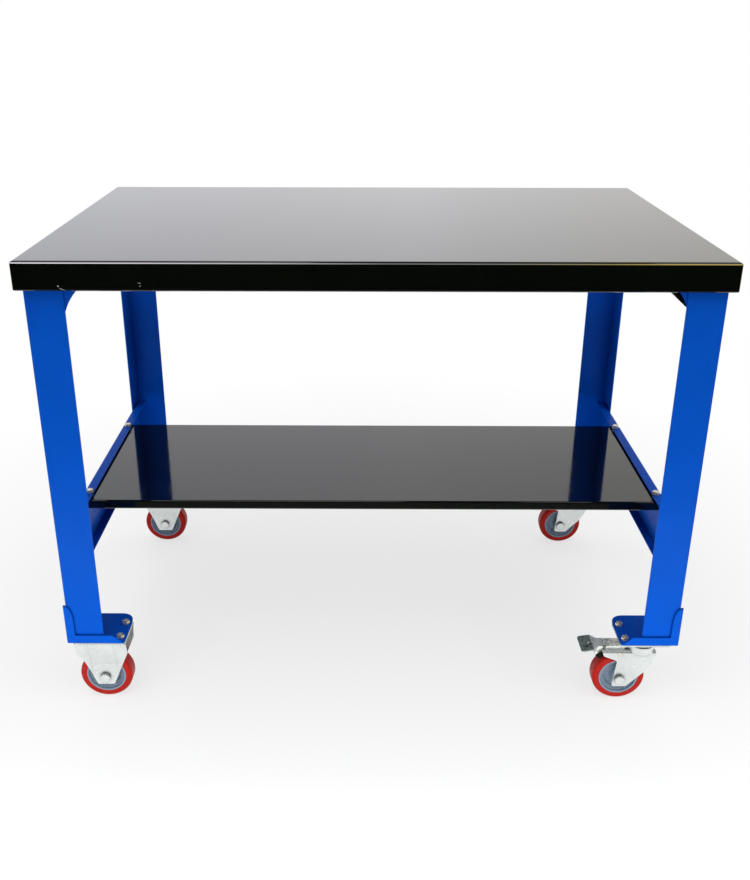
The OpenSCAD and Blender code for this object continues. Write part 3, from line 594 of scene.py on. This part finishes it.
def bolt_threads():
    """Thread crests on the ends of the bolts that stand out of their nuts."""
    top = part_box("castor_nuts")[1].z
    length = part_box("castor_bolts")[1].z - top - BOLT_POINT
    crests = [
        thread((x + dx, y + dy, top), (0, 0, 1), BOLT_D, length, BOLT_PITCH)
        for x, y in CASTORS for dx, dy in PLATE_HOLES
    ]
    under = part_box("undershelf_nuts")[0].z
    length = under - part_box("undershelf_bolts")[0].z - BOLT_POINT
    crests.extend(thread((x, y, under), (0, 0, -1), BOLT_D, length, BOLT_PITCH) for x, y in SHELF_BOLTS)
    piece("bolt_threads", *join(crests), "bench", "plated_fastener")


def axle_threads():
    """Thread crests on the ends of the axle bolts, behind their nuts."""
    bolt_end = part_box("swivel_axle_bolt_rear")[1].y
    nut_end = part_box("swivel_axle_nut_rear")[1].y
    length = bolt_end - nut_end - BOLT_POINT
    for depth, way in DEPTHS.items():
        y = nut_end - CASTOR_Y + way*CASTOR_Y
        for end, x, body in (("left", -CASTOR_X, "bench"), ("right", SWIVEL_AXLE_X, f"{depth}_swivel")):
            crests = thread((x, y, AXLE_Z), (0, 1, 0), AXLE_D, length, AXLE_PITCH)
            piece(f"axle_thread_{depth}_{end}", *crests, body, "plated_fork")


def bearing_shields():
    """Dark seal ring in each end of a wheel's bearings."""
    back, rim, crown = -0.0004, 0.0001, 0.0003
    outer_slope, inner_slope = 0.0008, 0.0006
    profile = [
        (SHIELD_R, back),
        (BEARING_R, back),
        (BEARING_R, rim),
        (BEARING_R - outer_slope, crown),
        (SHIELD_R + inner_slope, crown),
        (SHIELD_R, rim),
    ]
    for end in ENDS:
        for depth in DEPTHS:
            low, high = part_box(f"wheel_core_{depth}_{end}")
            ways = [Vector((0, side, 0)) for side in (-1, 1)]
            rings = [lathe(profile, (low + high)/2 + HUB_HALF*way, way) for way in ways]
            piece(f"bearing_shields_{depth}_{end}", *join(rings), f"{depth}_{end}_wheel", "pad_rubber")


# Studio

def bare_material(name):
    """A material whose surface is still open, and the calls for its nodes."""
    material = bpy.data.materials.new(name)
    material.use_nodes = True
    tree = material.node_tree
    tree.nodes.remove(tree.nodes["Principled BSDF"])
    return material, Nodes(tree, "Object")


def build_floor():
    """White floor that goes over to the plain background round the bench."""
    material, n = bare_material("floor")
    lit = n.add("BsdfDiffuse")
    lit.inputs["Color"].default_value = (*FLOOR_WHITE, 1)
    distance = n.add("VectorMath")
    distance.operation = "LENGTH"
    n.link(n.place, distance.inputs[0])
    far = n.spread(distance.outputs["Value"], *FLOOR_FADE)
    shown = n.maths("MULTIPLY", far, n.background_rays())
    n.surface("Material Output", shown, lit, n.add("Emission"))
    half = FLOOR_HALF
    corners = [(-half, -half, 0), (half, -half, 0), (half, half, 0), (-half, half, 0)]
    floor = add_mesh("floor", corners, [(0, 1, 2, 3)], material)


def build_card(name, profile, half, fade, colours, reach):
    """Glowing card that only reflections from nearer than reach show."""
    material, n = bare_material(name)
    across = n.spread(n.along("X"), -half, half)
    stops = [((x + half)/(2*half), colour) for x, colour in colours]
    glow = n.add("Emission")
    n.link(n.ramp(across, stops), glow.inputs["Color"])
    n.link(n.spread(n.along("Y"), *fade), glow.inputs["Strength"])
    near = n.maths("LESS_THAN", n.add("LightPath").outputs["Ray Length"], reach)
    n.surface("Material Output", near, n.add("BsdfTransparent"), glow)
    points = [(x, y, z) for y, z in profile for x in (-half, half)]
    faces = [(2*i, 2*i + 1, 2*i + 3, 2*i + 2) for i in range(len(profile) - 1)]
    card = add_mesh(name, points, faces, material)
    card.visible_camera = False
    card.visible_diffuse = False
    card.visible_shadow = False


def build_world():
    """Light from all round, and the room that reflections show. The camera sees plain white."""
    world = bpy.data.worlds.new("studio")
    bpy.context.scene.world = world
    world.use_nodes = True
    n = Nodes(world.node_tree, "Generated")
    height = n.along("Z")
    camera_ray = n.add("LightPath").outputs["Is Camera Ray"]

    light = n.tree.nodes["Background"]
    light.inputs["Color"].default_value = (*WHITE, 1)
    n.link(n.spread(height, *SKY_FADE), light.inputs["Strength"])

    backdrop = n.add("Background")
    room = n.ramp(n.spread(n.along("X"), *ROOM_WIDTH), ROOM_COLOURS)
    n.link(n.blend(camera_ray, room, WHITE), backdrop.inputs["Color"])
    level = n.maths("MULTIPLY", n.spread(height, *WALL_FADE), n.spread(height, *CEILING_FADE))
    n.link(n.maths("MAXIMUM", level, camera_ray), backdrop.inputs["Strength"])
    n.surface("World Output", n.background_rays(), light, backdrop)


def build_lamp(name, place, aim, width, height, power, mirrored):
    """Soft rectangular lamp. Shiny faces show it where mirrored is true."""
    light = bpy.data.lights.new(name, "AREA")
    light.shape = "RECTANGLE"
    light.size = width
    light.size_y = height
    light.energy = power
    lamp = bpy.data.objects.new(name, light)
    lamp.location = place
    lamp.rotation_euler = (Vector(aim) - Vector(place)).to_track_quat("-Z", "Y").to_euler()
    lamp.visible_camera = False
    lamp.visible_glossy = mirrored
    bpy.context.scene.collection.objects.link(lamp)


def build_camera():
    """Camera of the photograph, shifted because the photograph's axis isn't at its middle."""
    forward = Vector((sin(YAW)*cos(PITCH), cos(YAW)*cos(PITCH), -sin(PITCH)))
    level = Vector((cos(YAW), -sin(YAW), 0))
    upright = level.cross(forward)
    right = cos(ROLL)*level + sin(ROLL)*upright
    up = cos(ROLL)*upright - sin(ROLL)*level
    width, height = FRAME_PIXELS
    data = bpy.data.cameras.new("camera")
    data.sensor_fit = "VERTICAL"
    data.sensor_height = SENSOR_MM
    data.lens = SENSOR_MM*FOCAL_PIXELS/height
    data.shift_x = (width/2 - AXIS_PIXEL[0])/height
    data.shift_y = (AXIS_PIXEL[1] - height/2)/height
    camera = bpy.data.objects.new("camera", data)
    camera.matrix_world = Matrix((right, up, -forward)).transposed().to_4x4()
    camera.location = CAMERA_PLACE
    bpy.context.scene.collection.objects.link(camera)
    bpy.context.scene.camera = camera


finish_nodes()
rail_welds()
foot_welds()
bolt_threads()
axle_threads()
bearing_shields()

build_floor()
for name, values in CARDS.items():
    build_card(name, **values)
build_world()
for lamp in LAMPS:
    build_lamp(*lamp)
build_camera()
bpy.context.scene.view_settings.view_transform = "Standard"
